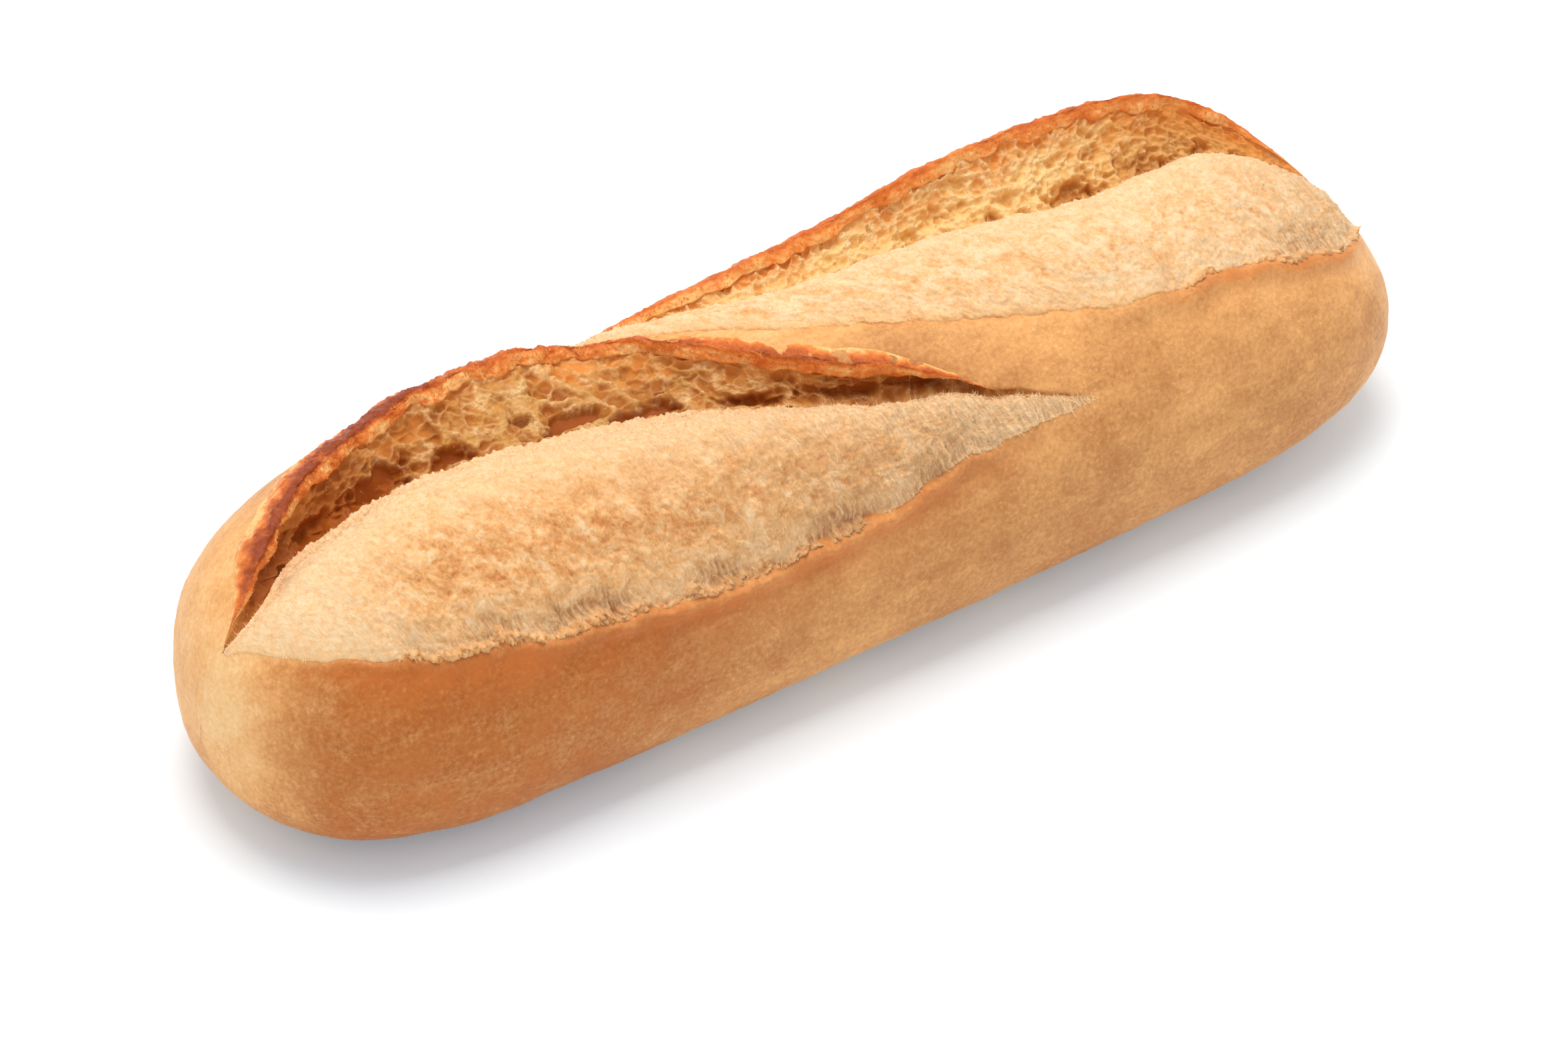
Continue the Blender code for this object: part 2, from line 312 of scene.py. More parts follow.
class Shade:
    """A shader socket that sums can be written with, and the tree its nodes go into."""

    def __init__(self, tree, socket):
        self.tree = tree
        self.socket = socket

    def node(self, kind, settings=None, out=0, **sockets):
        """A node of any type with its settings and sockets set. An underscore in a socket's name stands for a
        space, and i with a number for the socket at that place."""
        made = self.tree.nodes.new(kind)
        for setting, value in (settings or {}).items():
            setattr(made, setting, value)
        for label, value in sockets.items():
            socket = made.inputs[int(label[1:])] if label[0] == "i" and label[1:].isdigit() \
                else made.inputs[label.replace("_", " ")]
            if isinstance(value, Shade):
                self.tree.links.new(value.socket, socket)
            else:
                socket.default_value = value
        return Shade(self.tree, made.outputs[out])

    def noise(self, size, detail=2.0, roughness=0.5):
        """Soft noise, about 0.3 to 0.7, with lumps of the given size, read at this place."""
        return self.node("ShaderNodeTexNoise", Vector=self, Scale=1 / size, Detail=detail,
                         Roughness=roughness)

    def maths(self, operation, *values):
        """A Math node on these values."""
        named = {f"i{place}": value for place, value in enumerate(values)}
        return self.node("ShaderNodeMath", {"operation": operation}, **named)

    def __add__(self, other):
        return self.maths("ADD", self, other)

    def __sub__(self, other):
        return self.maths("SUBTRACT", self, other)

    def __rsub__(self, other):
        return self.maths("SUBTRACT", other, self)

    def __mul__(self, other):
        return self.maths("MULTIPLY", self, other)

    __radd__ = __add__
    __rmul__ = __mul__

    def clamped(self, low, high):
        """0 below low, 1 above high, smooth between."""
        return self.node("ShaderNodeMapRange", {"interpolation_type": "SMOOTHSTEP"},
                         i0=self, i1=low, i2=high, i3=0.0, i4=1.0)

    def colours(self, stops):
        """This number turned into a colour by (place, colour) stops."""
        made = self.node("ShaderNodeValToRGB", i0=self)
        ramp = made.socket.node.color_ramp
        while len(ramp.elements) < len(stops):
            ramp.elements.new(1.0)
        for element, (place, colour) in zip(ramp.elements, stops):
            element.position = place
            element.color = (*linear(colour), 1.0)
        return made

    def towards(self, colour, amount):
        """This colour mixed with another by an amount."""
        return self.node("ShaderNodeMix", {"data_type": "RGBA"}, out=2,
                         i0=amount, i6=self, i7=(*linear(colour), 1.0))


def linear(colour):
    """A screen colour, 0 to 255 each, as the linear numbers that shaders take."""
    shares = [part / 255 for part in colour]
    return tuple(share / 12.92 if share <= 0.04045 else ((share + 0.055) / 1.055) ** 2.4 for share in shares)


def blank_material(name, roughness, subsurface):
    """A material, its shader, Object coordinates, and a reader of the mesh's own values."""
    material = bpy.data.materials.new(name)
    material.use_nodes = True
    tree = material.node_tree
    surface = tree.nodes["Principled BSDF"]
    surface.inputs["Roughness"].default_value = roughness
    surface.inputs["Subsurface Weight"].default_value = subsurface
    surface.inputs["Subsurface Radius"].default_value = (1.0, 0.75, 0.5)
    surface.inputs["Subsurface Scale"].default_value = 0.0009
    surface.inputs["Specular IOR Level"].default_value = 0.25
    place = Shade(tree, None).node("ShaderNodeTexCoord", out=3)

    def value(label):
        return place.node("ShaderNodeAttribute", {"attribute_name": label}, out=2)

    return material, surface, place, value


def finish_surface(surface, colour, height, distance):
    """Links a colour and a bump to the shader."""
    tree = colour.tree
    tree.links.new(colour.socket, surface.inputs["Base Color"])
    bump = height.node("ShaderNodeBump", Strength=1.0, Distance=distance, Height=height)
    tree.links.new(bump.socket, surface.inputs["Normal"])


CRUST_RINGS = 338
TRENCH = 0.0045           # how far the skin runs down inside a cut, under the crumb
SKIN_BACK = 0.85          # how far behind a torn wall it runs, as a share of the dough there
BLISTER_HEIGHT, BLISTER_SIZE = 0.00007, 0.0025

# Steps around the section, each a number whose whole part names the stretch.
FRONT, IN_1, WALL_1, BRIDGE, IN_2, WALL_2, BACK, UNDER = range(8)
around = stretches((58, FRONT, FRONT + 1), (20, IN_1, IN_1 + 1), (8, WALL_1, WALL_1 + 1),
                   (30, BRIDGE, BRIDGE + 1), (20, IN_2, IN_2 + 1), (8, WALL_2, WALL_2 + 1),
                   (60, BACK, BACK + 1), (84, UNDER, UNDER + 1))
# Rings are an even distance apart along the loaf's outline, so that the blunt ends are as fine as the middle.
outline_x = LENGTH / 2 * np.sin(np.linspace(-math.pi / 2, math.pi / 2, 4001))
outline_z = HEIGHT / 2 * taper(outline_x, LEFT_SIDE, RIGHT_SIDE)
walked = np.concatenate([[0.0], np.cumsum(np.hypot(np.diff(outline_x), np.diff(outline_z)))])
ring_x = np.interp(np.linspace(0, walked[-1], CRUST_RINGS + 2)[1:-1], walked, outline_x)

x, step = np.meshgrid(ring_x, around, indexing="ij")
stretch = np.floor(step).astype(int)
t = step - stretch
lip_1, lip_2 = (cut_line(LIPS, cut, x, LIP_WANDER, 5 + cut) for cut in (0, 1))
crease_1, crease_2 = (cut_line(CREASES, cut, x) for cut in (0, 1))
rim_1, rim_2 = (cut_line(RIMS, cut, x, RIM_WANDER, 15 + cut) for cut in (0, 1))
stops = [np.full_like(x, math.pi), lip_1, crease_1, rim_1, lip_2, crease_2, rim_2, np.zeros_like(x)]
starts = np.choose(stretch, stops)
finishes = np.choose(stretch, stops[1:] + [np.full_like(x, -math.pi)])
angle = starts + (finishes - starts) * t

out = np.zeros_like(x)
up = np.zeros_like(x)
for cut, (inside, before) in enumerate(((IN_1, FRONT), (IN_2, BRIDGE))):
    open_here = curve(OPENINGS[cut], x)
    ridge = lip_ridge(cut, x, angle, (lip_1, lip_2)[cut])
    out += np.where((stretch == before) | (stretch == inside), ridge, 0)
    out -= np.where(stretch == inside, open_here * TRENCH * ease(0.0, 0.12, t), 0)
    up += np.where(stretch == inside, -CREASE_DEPTH * open_here * ease(DROP_FROM, 1, t), 0)

skin = loaf_point(x, angle, out, up)
for cut, wall in enumerate((WALL_1, WALL_2)):
    face, side, thick = torn_face(cut, x, t)
    skin = np.where((stretch == wall)[..., None], face - side * (SKIN_BACK * thick)[..., None], skin)
blisters = swirl(skin, BLISTER_SIZE, 6, layers=2)
skin = skin + outward_sides(skin) * BLISTER_HEIGHT * blisters[..., None]
skin[..., 2] = np.maximum(skin[..., 2], 0.0)


def beside(line, offset, width):
    """1 at an offset below a line of the section, fading over a width to both sides."""
    return np.exp(-np.abs(angle - line - offset) / width)


# How the bake varies over the crust. The front lips browned along their edges, but the far one stayed pale
# on its left half. The crust at the rims and past the end of the near ear browned too.
near_edge = 0.7 * curve(OPENINGS[0], x) * beside(lip_1, 0.09, 0.10) * (angle >= lip_1)
far_edge = 0.6 * ease(0.055, 0.080, x) * beside(lip_2, 0.05, 0.06) \
    - 0.6 * (1 - ease(0.035, 0.070, x)) * beside(lip_2, 0.0, 0.10)
lip_bake = near_edge + far_edge * curve(OPENINGS[1], x) * (angle >= lip_2)
past_ear = np.exp(-((x - 0.016) / 0.024) ** 2) * beside(rim_1, 0.0, 0.30) * (angle <= rim_1)
rim_bake = np.maximum(curve(BAKED[0], x) * beside(rim_1, 0.0, 0.045) * (angle <= rim_1),
                      curve(BAKED[1], x) * beside(rim_2, 0.0, 0.06) * (angle <= rim_2)) + 0.7 * past_ear
# The front of the left half is orange-brown below the lip. The left end is pale: partly paler crust, and
# partly painted light, carried down its lower side where it turns away from the lamp. The tip of the right
# end and the left part of the bridge of crust between the cuts are pale too.
turned = np.where(angle < 0, angle + 2 * math.pi, angle)
low_front = ease(-0.02, 0.10, turned - lip_1) * (1 - ease(4.4, 4.9, turned)) \
    * (1 - ease(-0.024, -0.005, skin[..., 1])) * ease(-0.128, -0.107, x) \
    * (1 - 0.85 * ease(-0.084, -0.012, x))
pale_bridge = (stretch == BRIDGE) * ease(-0.040, -0.025, x) * (1 - ease(-0.005, 0.02, x))
# Painted light: the left end is lightened down to below its widest line, where it turns away from the lamp.
pale_and_painted_light = 0.9 * (1 - ease(-0.122, -0.093, x)) * ease(-1.2, 0.1, np.sin(angle)) \
    + 0.35 * ease(0.096, 0.118, x) + 0.8 * pale_bridge

crust_ends = [(end * LENGTH / 2, 0.0, WAIST - FLATTENED) for end in (-1, 1)]
crust = closed_skin("crust", skin, crust_ends,
                    {"lip": lip_bake, "rim": rim_bake, "low": low_front, "pale": pale_and_painted_light})

# The bake runs from 0, pale straw, to 1, dark brown. Flour keeps it lighter, and so do the blisters' pale
# specks, which are partly paler crust and partly painted highlights on their tops.
CRUST_COLOURS = ((0.0, (251, 208, 148)), (0.30, (237, 173, 105)), (0.55, (203, 140, 80)),
                 (0.80, (175, 99, 36)), (1.0, (150, 68, 18)))
FRONT_ORANGE = (198, 114, 46)
LIP_ORANGE = (206, 112, 44)
EVEN_BAKE = 0.43
ALONG_LOAF = (0.25, 1.0, 1.0)     # draws a pattern out along the loaf
THIN_MARKS = (0.2, 1.0, 0.6)

crust_finish, surface, place, value = blank_material("baked_crust", 0.50, 0.12)
patches = place.noise(0.030, detail=3.0) - 0.5
mottle = place.noise(0.0060, detail=3.0) - 0.5
grain = place.noise(0.0009, detail=4.0, roughness=0.70)
blister = place.node("ShaderNodeTexVoronoi", {"feature": "F1"}, Vector=place, Scale=450.0)
speck_and_glint = (1 - blister.clamped(0.04, 0.32)) * (place.noise(0.0030, detail=3.0) - 0.40).clamped(0.0, 0.2)
dust = place.node("ShaderNodeTexVoronoi", {"feature": "F1"}, Vector=place, Scale=900.0)
dusty = (1 - dust.clamped(0.08, 0.40)) * (place.noise(0.012, detail=3.0) - 0.42).clamped(0.0, 0.2)
lengthwise = place.node("ShaderNodeMapping", {"vector_type": "POINT"}, Vector=place, Scale=ALONG_LOAF)
drawn = lengthwise.noise(0.0060, 3.0) - 0.5
finer = place.node("ShaderNodeMapping", {"vector_type": "POINT"}, Vector=place, Scale=THIN_MARKS)
marks = finer.noise(0.0014, 4.0)
bake = EVEN_BAKE - (marks - 0.56).clamped(0.0, 0.14) * (0.05 + 0.10 * value("low"))
bake = bake + 0.5 * patches + 0.32 * mottle + 0.30 * drawn
bake = bake + (grain - 0.5) * (0.6 + 0.4 * value("low")) - 0.12 * dusty
# Painted highlight, in part: the blister specks are lightened, most of all on the lower front.
bake = bake - speck_and_glint * (0.05 + 0.22 * value("low"))
# The pale places are lightened here; on the left end that is partly painted light.
bake = bake + 0.16 * value("lip") + 0.3 * value("rim") + 0.37 * value("low") - 0.24 * value("pale")
crust_colour = bake.colours(CRUST_COLOURS)
crust_colour = crust_colour.towards(FRONT_ORANGE, value("low") * (0.45 + 1.5 * mottle))
crust_colour = crust_colour.towards(LIP_ORANGE, value("lip") * (1.0 + 1.5 * mottle))
crust_relief = grain * 0.7 + speck_and_glint * 0.4 + mottle + dusty * 0.3
finish_surface(surface, crust_colour, crust_relief, 0.00025)
crust.data.materials.append(crust_finish)
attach(crust, "root")
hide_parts("loaf")


# ------------------------------------------------------------------------------
# The crumb domes. Where a cut opened, soft dough swelled out and tore into fine fibres that run from the
# crease down to the lip. Each dome is one closed lump that sits in its cut, tucked under the lip and down the
# crease.

CRUMB_BULGE = (0.0037, 0.0034)    # how far each dome swells out of its cut
DOME_FOOT = 0.020         # how far inside the lip it starts, as an angle
FIBRE_LEAN = -0.20        # the fibres' drift along the loaf for each metre up from the lip
# The crumb's patterns: height, then size along the loaf and up from the lip.
STRANDS = (0.00007, (0.0008, 0.0045))
TUFTS = (0.00012, (0.0011, 0.0014))
COTTON = (0.00022, (0.0016, 0.0022))
LUMPS = (0.00050, (0.011, 0.009))
POCKS = (0.0003, (0.0030, 0.0036))
FLUFF = (0.0006, (0.0011, 0.0016))
FLAKE_HEIGHT = (0.0021, 0.0012)   # how far up from the lip the ragged flakes reach on average
FLAKE_THICK = (0.0004, 0.0006)    # how far they stand out, and how much more on tufts
GROOVE_TOP = (0.0035, 0.0085)     # where the grooves start to fade, and where they end, up from the lip
GROOVE_DEPTH = (0.0010, 0.0005)   # their depth, and how much it varies with the strands
SUNK = 0.008              # how deep a dome's underside lies in the loaf
DOME_RINGS = (580, 540)
DOME_TOP, DOME_UNDER = 152, 12    # steps over its top, and back underneath


def bubbles(points, size, seed, spread=0.85):
    """Cells around scattered centres in the plane: distance to the nearest centre, how much further the next
    one is (0 midway between two), and a random number for each cell."""
    place = np.asarray(points) / np.asarray(size)
    home = np.floor(place)
    near = np.full(place.shape[:-1], 9.0)
    second = near.copy()
    which = np.zeros(near.shape)
    for dx in (-1, 0, 1):
        for dy in (-1, 0, 1):
            cell = home + (dx, dy)
            luck = scattered(cell, seed)
            centre = cell + 0.5 + 0.5 * spread * SLOPES[luck, :2]
            away = np.linalg.norm(place - centre, axis=-1)
            closer = away < near
            second = np.where(closer, near, np.minimum(second, away))
            which = np.where(closer, SLOPES[luck, 2] * 0.5 + 0.5, which)
            near = np.where(closer, away, near)
    return near, second - near, which


def cut_grid(cut, rings, *parts):
    """x and the step around, at every point of a skin that runs from one tip of a cut to the other."""
    ring_x = np.linspace(*TIPS[cut], rings + 2)[1:-1]
    return np.meshgrid(ring_x, stretches(*parts), indexing="ij")


def tip_points(lines, cut):
    """The two points where one of a cut's lines starts and ends."""
    tips = np.array(TIPS[cut])
    return loaf_point(tips, cut_line(lines, cut, tips))


def walked_up(points):
    """Distance of each point from the first of its ring, over the surface."""
    hops = np.linalg.norm(np.diff(points, axis=1), axis=-1)
    return np.concatenate([np.zeros((len(points), 1)), np.cumsum(hops, axis=1)], axis=1)


domes = []
dome_tops = []
for cut, label in enumerate(("near_crumb", "far_crumb")):
    x, step = cut_grid(cut, DOME_RINGS[cut], (DOME_TOP, 0, 1), (DOME_UNDER, 1, 2))
    under = step >= 1
    t = np.where(under, 2 - step, step)
    lip = cut_line(LIPS, cut, x, LIP_WANDER, 5 + cut)
    crease = cut_line(CREASES, cut, x)
    opened = curve(OPENINGS[cut], x)
    angle = lip + DOME_FOOT + (crease - lip - DOME_FOOT) * t
    across = np.clip(t / 0.92, 0, 1) ** 1.3
    swell = CRUMB_BULGE[cut] * (4 * across * (1 - across)) ** 0.8 * (1.0, np.minimum(opened, 1))[cut]
    # The far dome has a second hump at its right end.
    hump = np.exp(-((x - 0.092) / 0.013) ** 2) * ease(0.35, 0.75, t) * (1 - ease(0.9, 1, t))
    swell = swell + cut * 0.0018 * hump
    drop = CREASE_DEPTH * ease(DROP_FROM, 1.0, t)
    tucked = 0.0006 * (1 - ease(0, 0.03, t)) - 0.0003 * ease(0, 0.06, t)
    raised = opened * swell + lip_ridge(cut, x, angle, lip) - tucked
    top = loaf_point(x, angle, raised, -opened * drop)

    # The crumb's patterns lie on the dome's surface as if it were unrolled, and follow the fibres.
    up_from_lip = walked_up(top)
    flat = np.stack([x - FIBRE_LEAN * up_from_lip, up_from_lip], -1)
    flat = flat + 0.0006 * np.stack([swirl(flat, 0.006, 20 + cut, 2), swirl(flat, 0.006, 25 + cut, 2)], -1)
    # Ragged flakes of skin stand along the lip, but not at the near dome's ends or on the far one's left.
    along = np.stack([x, 0.3 * up_from_lip], -1)
    flake_top = FLAKE_HEIGHT[cut] + 0.0020 * swirl(along, 0.011, 27 + cut, 2) \
        + 0.0010 * swirl(along, 0.0022, 29 + cut, 2)
    flake_top -= 0.0040 * (1 - ease(-0.102, -0.088, x)) + 0.0050 * ease(-0.020, 0.012, x) * (1 - cut) \
        + 0.0030 * cut * (1 - ease(0.050, 0.075, x))
    flake = 1 - ease(-0.0005, 0.0005, up_from_lip - flake_top)
    # Above them the skin stretched into grooves before it tore, most of all at the middle of the near dome.
    pull = 0.15 - 5 * np.abs(x + 0.045) if cut == 0 else -0.1
    stretched = ease(-0.25, 0.25, swirl(along, 0.018, 28 + cut) + pull)
    ragged_height = up_from_lip + 0.002 * swirl(flat, 0.003, 30 + cut)
    groove = (1 - flake) * (1 - ease(*GROOVE_TOP, ragged_height)) * stretched
    groove = groove * (ease(-0.100, -0.085, x) if cut == 0 else 0.6 * ease(0.060, 0.080, x))
    # Fibres, tufts, broad lumps, cottony clumps and small pocks cover it, and it is fluffy along its crease.
    strands = swirl(flat, STRANDS[1], 21 + cut, layers=2, gain=0.6)
    tuft = swirl(flat, TUFTS[1], 31 + cut, layers=3, gain=0.7)
    lump = swirl(flat, LUMPS[1], 41 + cut, layers=3, gain=0.4)
    cotton = swirl(flat, COTTON[1], 35 + cut, layers=3, gain=0.75)
    near, _, which = bubbles(flat, POCKS[1], 43 + cut)
    pock = np.where(which > 0.80, np.clip(1 - near / 0.30, 0, 1) ** 0.6, 0)
    fluffy = np.maximum(swirl(flat, FLUFF[1], 33 + cut, 2, 0.7) + 0.2, 0)
    relief = STRANDS[0] * strands * (1 + 3 * groove) + TUFTS[0] * tuft * (1 - 0.5 * groove) \
        + LUMPS[0] * lump - POCKS[0] * pock + COTTON[0] * cotton \
        + flake * (FLAKE_THICK[0] + FLAKE_THICK[1] * tuft) \
        - groove * (GROOVE_DEPTH[0] + GROOVE_DEPTH[1] * strands)
    relief += FLUFF[0] * ease(0.70, 0.95, t) * fluffy
    shown = ease(0, 0.012, t) * np.minimum(opened * 8, 1) * np.where(under, 0, 1)
    shown = shown * (1 - 0.6 * (1 - cut) * (1 - ease(-0.108, -0.082, x)))
    top = top + outward_sides(top) * (relief * shown)[..., None]
    sunk = loaf_point(x, angle, -opened * SUNK, -opened * drop)
    closing = ease(0, 0.2, np.minimum(t, 1 - t) + 0.1)[..., None]
    dome = np.where(under[..., None], top + (sunk - top) * closing, top)

    # The dome toasted in a band along its lower half. It is greyer towards its right end, and where it meets
    # the lip without a step its colour melds into the crust's.
    band = np.exp(-((t - 0.36) / 0.26) ** 2) * (1 - 0.8 * ease(-0.010, 0.030, x) * (1 - cut)) \
        * ease(-0.104, -0.078, x)
    toast_patches = (0.65, 0.45)[cut] * swirl(flat, (0.0055, 0.0045), 45 + cut, 5, 0.8)
    toast = band * ((1.00, 0.20)[cut] + toast_patches - 0.25 * cotton)
    meld = (cut * (1 - ease(0.045, 0.080, x)) + 0.7 * (1 - cut) * (1 - ease(-0.104, -0.082, x))) \
        * np.exp(-up_from_lip / 0.0018)
    grey = ease(-0.075, 0.030, x) * (1 - cut) + 0.8 * ease(0.075, 0.115, x) * cut
    domes.append(closed_skin(label, dome, tip_points(LIPS, cut), {
        "toast": toast, "groove": groove, "flake": flake, "grey": grey, "meld": meld,
        "flow_u": flat[..., 0], "flow_v": flat[..., 1]}))
    dome_tops.append((dome[:, :DOME_TOP], t[:, :DOME_TOP]))

CRUMB_COLOURS = ((0.0, (254, 221, 176)), (0.30, (250, 199, 142)), (0.6, (236, 174, 110)),
                 (1.0, (208, 132, 72)))
CRUMB_GREY = (206, 163, 118)
GROOVE_SHADE_BROWN = (190, 136, 88)
MELD_GOLD = (246, 186, 116)

crumb_finish, surface, place, value = blank_material("torn_crumb", 0.85, 0.08)
flow = place.node("ShaderNodeCombineXYZ", X=value("flow_u"), Y=value("flow_v") * 0.45, Z=0.0)
fluff = flow.noise(0.00040, detail=4.0, roughness=0.75) - 0.5
wisps = place.noise(0.0012, detail=4.0, roughness=0.7) - 0.5
long_flow = place.node("ShaderNodeCombineXYZ", X=value("flow_u"), Y=value("flow_v") * 0.15, Z=0.0)
streaks = long_flow.noise(0.0006, 3.0) - 0.5
browned = value("toast") * 0.46 + value("flake") * 0.32 + wisps * 1.0 + fluff * 0.9 + 0.14
crumb_colour = browned.colours(CRUMB_COLOURS)
crumb_colour = crumb_colour.towards(CRUMB_GREY, value("grey") * (0.50 + 1.6 * fluff + 2.2 * streaks))
# Painted shade: the grooved band above the lip is darkened towards brown.
crumb_colour = crumb_colour.towards(GROOVE_SHADE_BROWN, value("groove") * (0.60 + 1.5 * fluff + streaks * 3.5))
crumb_colour = crumb_colour.towards(MELD_GOLD, value("meld"))
finish_surface(surface, crumb_colour, fluff + wisps * 0.6, 0.00028)
for dome in domes:
    dome.data.materials.append(crumb_finish)
    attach(dome, "root")
    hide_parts("loaf")


# ------------------------------------------------------------------------------
# The torn walls. Under each ear the dough pulled apart and shows its bubbles: open cells with thin webs
# between them, cream at the edges, with painted shade and a painted golden glow inside. Each wall is one
# closed slab from the crease up to the ear's rim.

WALL_RINGS = (640, 600)
WALL_FACE, WALL_REAR = 84, 8      # steps up its face, and down its rear
WALL_FOOT = -0.12         # how far below the crease a wall starts, as a share of its height
HOLLOW = 0.0018           # how far its middle curves in
DEEPEST = 0.75            # how deep a hole may be, as a share of the dough behind the wall
# Painted shade: the holes are coloured darker with depth, down to this depth.
FULL_SHADE_DEPTH = 0.0042       # depth at which a hole is as dark as it gets
FUZZ = (0.00012, 0.00022)  # height of the wall's fuzz, and how much more on webs
FUZZ_SIZE = 0.0011
# Larger caves: (x, share of the way up, half length, half height, slant, depth).
CAVES = (((-0.0897, 0.15, 0.0050, 0.0022, 0.0, 0.0022), (-0.0764, 0.20, 0.0072, 0.0028, 0.1, 0.0030),
          (-0.0619, 0.15, 0.0044, 0.0024, 0.1, 0.0030), (-0.0478, 0.32, 0.0022, 0.0014, 0.0, 0.0018),
          (-0.0390, 0.23, 0.0068, 0.0022, 0.24, 0.0038), (-0.0285, 0.18, 0.0060, 0.0022, 0.24, 0.0036),
          (-0.0127, 0.17, 0.0050, 0.0013, 0.0, 0.0026), (0.0040, 0.31, 0.0060, 0.0012, 0.1, 0.0024),
          (0.0157, 0.46, 0.0060, 0.0012, 0.0, 0.0020)),
         ((0.0376, 0.29, 0.0022, 0.0018, 0.0, 0.0014), (0.0428, 0.42, 0.0022, 0.0018, 0.0, 0.0014),
          (0.0521, 0.22, 0.0022, 0.0016, 0.0, 0.0016), (0.0568, 0.34, 0.0024, 0.0022, 0.0, 0.0016),
          (0.0579, 0.12, 0.0020, 0.0014, 0.0, 0.0018), (0.0693, 0.12, 0.0062, 0.0034, 0.0, 0.0028),
          (0.0850, 0.15, 0.0090, 0.0034, 0.0, 0.0014)))
# Each wall's cells, large then small: depth, size along and up, and how far they are drawn out of round.
CELLS = (((0.0015, (0.0075, 0.0052), 0.0022), (0.0009, (0.0028, 0.0022), 0.0008)),
         ((0.0011, (0.0042, 0.0038), 0.0012), (0.0007, (0.0021, 0.0019), 0.0006)))


def foam(plain, seed, depth, size, drawn):
    """Depth of rounded cells, each as deep as chance has it, and how near each point is to a web."""
    warp = np.stack([swirl(plain, size[0], seed + 3, 2), swirl(plain, size[0], seed + 5, 2)], -1)
    _, gap, which = bubbles(plain + drawn * warp, size, seed)
    return depth * (0.15 + 0.85 * which) * ease(0.0, 0.55, gap), 1 - ease(0.02, 0.28, gap)


walls = []
wall_faces = []
for cut, label in enumerate(("near_torn_wall", "far_torn_wall")):
    x, step = cut_grid(cut, WALL_RINGS[cut], (WALL_FACE, 0, 1), (WALL_REAR, 1, 2))
    rear = step >= 1
    t = WALL_FOOT + (1 - WALL_FOOT) * np.where(rear, 2 - step, step)
    face, side, thick = torn_face(cut, x, t)
    opened = np.minimum(curve(OPENINGS[cut], x) * 2, 1)
    rise = (np.linalg.norm(face[:, WALL_FACE] - face[:, 0], axis=-1) / (1 - WALL_FOOT))[:, None]
    plain = np.stack([x, rise * t], -1)
    large, wide_web = foam(plain, 61 + cut, *CELLS[cut][0])
    small, thin_web = foam(plain, 71 + cut, *CELLS[cut][1])
    cells = large + small
    for cave_x, cave_t, half_length, half_height, slant, cave_depth in CAVES[cut]:
        along = x - cave_x
        above = plain[..., 1] - cave_t * rise - slant * along
        off = np.hypot(along / half_length, above / half_height)
        off = off + 0.35 * swirl(plain, 0.0026, 85 + cut, 2)
        cells = cells + cave_depth * (1 - ease(0.35, 1.20, off))
    web = np.clip(wide_web + 0.6 * thin_web, 0, 1) * (1 - ease(0.0010, 0.0030, cells))
    fuzz = (FUZZ[0] + FUZZ[1] * web) * swirl(plain, FUZZ_SIZE, 81 + cut, layers=3, gain=0.7)
    fade = (1 - ease(0.92, 1, t)) * opened
    hollow = HOLLOW * np.sin(math.pi * np.clip(t, 0, 1) ** 0.7) * opened
    depth = np.minimum(hollow + (cells - fuzz) * fade, DEEPEST * thick)
    slab = face - side * np.where(rear, thick, depth)[..., None]
    # The near wall is browner at both ends than in the middle; at its left end, which lies under the
    # overhanging ear, that is painted shade. The far wall is browner towards its right end.
    near_shade_and_browning = 0.12 + 0.36 * (1 - ease(-0.084, -0.050, x)) + 0.12 * ease(-0.02, 0.01, x) \
        - 0.14 * ease(-0.086, -0.072, x) * (1 - ease(-0.046, -0.026, x))
    shade_and_browning = near_shade_and_browning * (1 - cut) + 0.45 * cut * ease(0.064, 0.100, x)
    gold = 0.5 + swirl(plain, (0.010, 0.005), 83 + cut, 3, 0.6) + cut * ease(0.060, 0.100, x)
    # Painted shade: the holes are coloured darker and more golden by their depth, and the near wall's left
    # end darker under its ear.
    walls.append(closed_skin(label, slab, tip_points(RIMS, cut), {
        "pit": cells * fade / FULL_SHADE_DEPTH + shade_and_browning, "rise": t, "gold": gold,
        "web": web * (1 - 2 * shade_and_browning)}))
    wall_faces.append((slab[:, :WALL_FACE], t[:, :WALL_FACE]))

# Painted shade and glow, from the shallow parts to the bottoms of the holes: the deeper, the darker and more
# golden.
WALL_SHADE_COLOURS = (((0.0, (210, 154, 80)), (0.30, (180, 112, 44)), (0.65, (162, 88, 26)), (1.0, (164, 82, 14))),
                ((0.0, (248, 210, 144)), (0.30, (232, 185, 112)), (0.65, (210, 150, 78)),
                 (1.0, (176, 110, 46))))
WEB_COLOURS = ((255, 218, 156), (252, 222, 168))
WALL_GOLD = (222, 142, 60)
UNDER_RIM = (230, 148, 70)

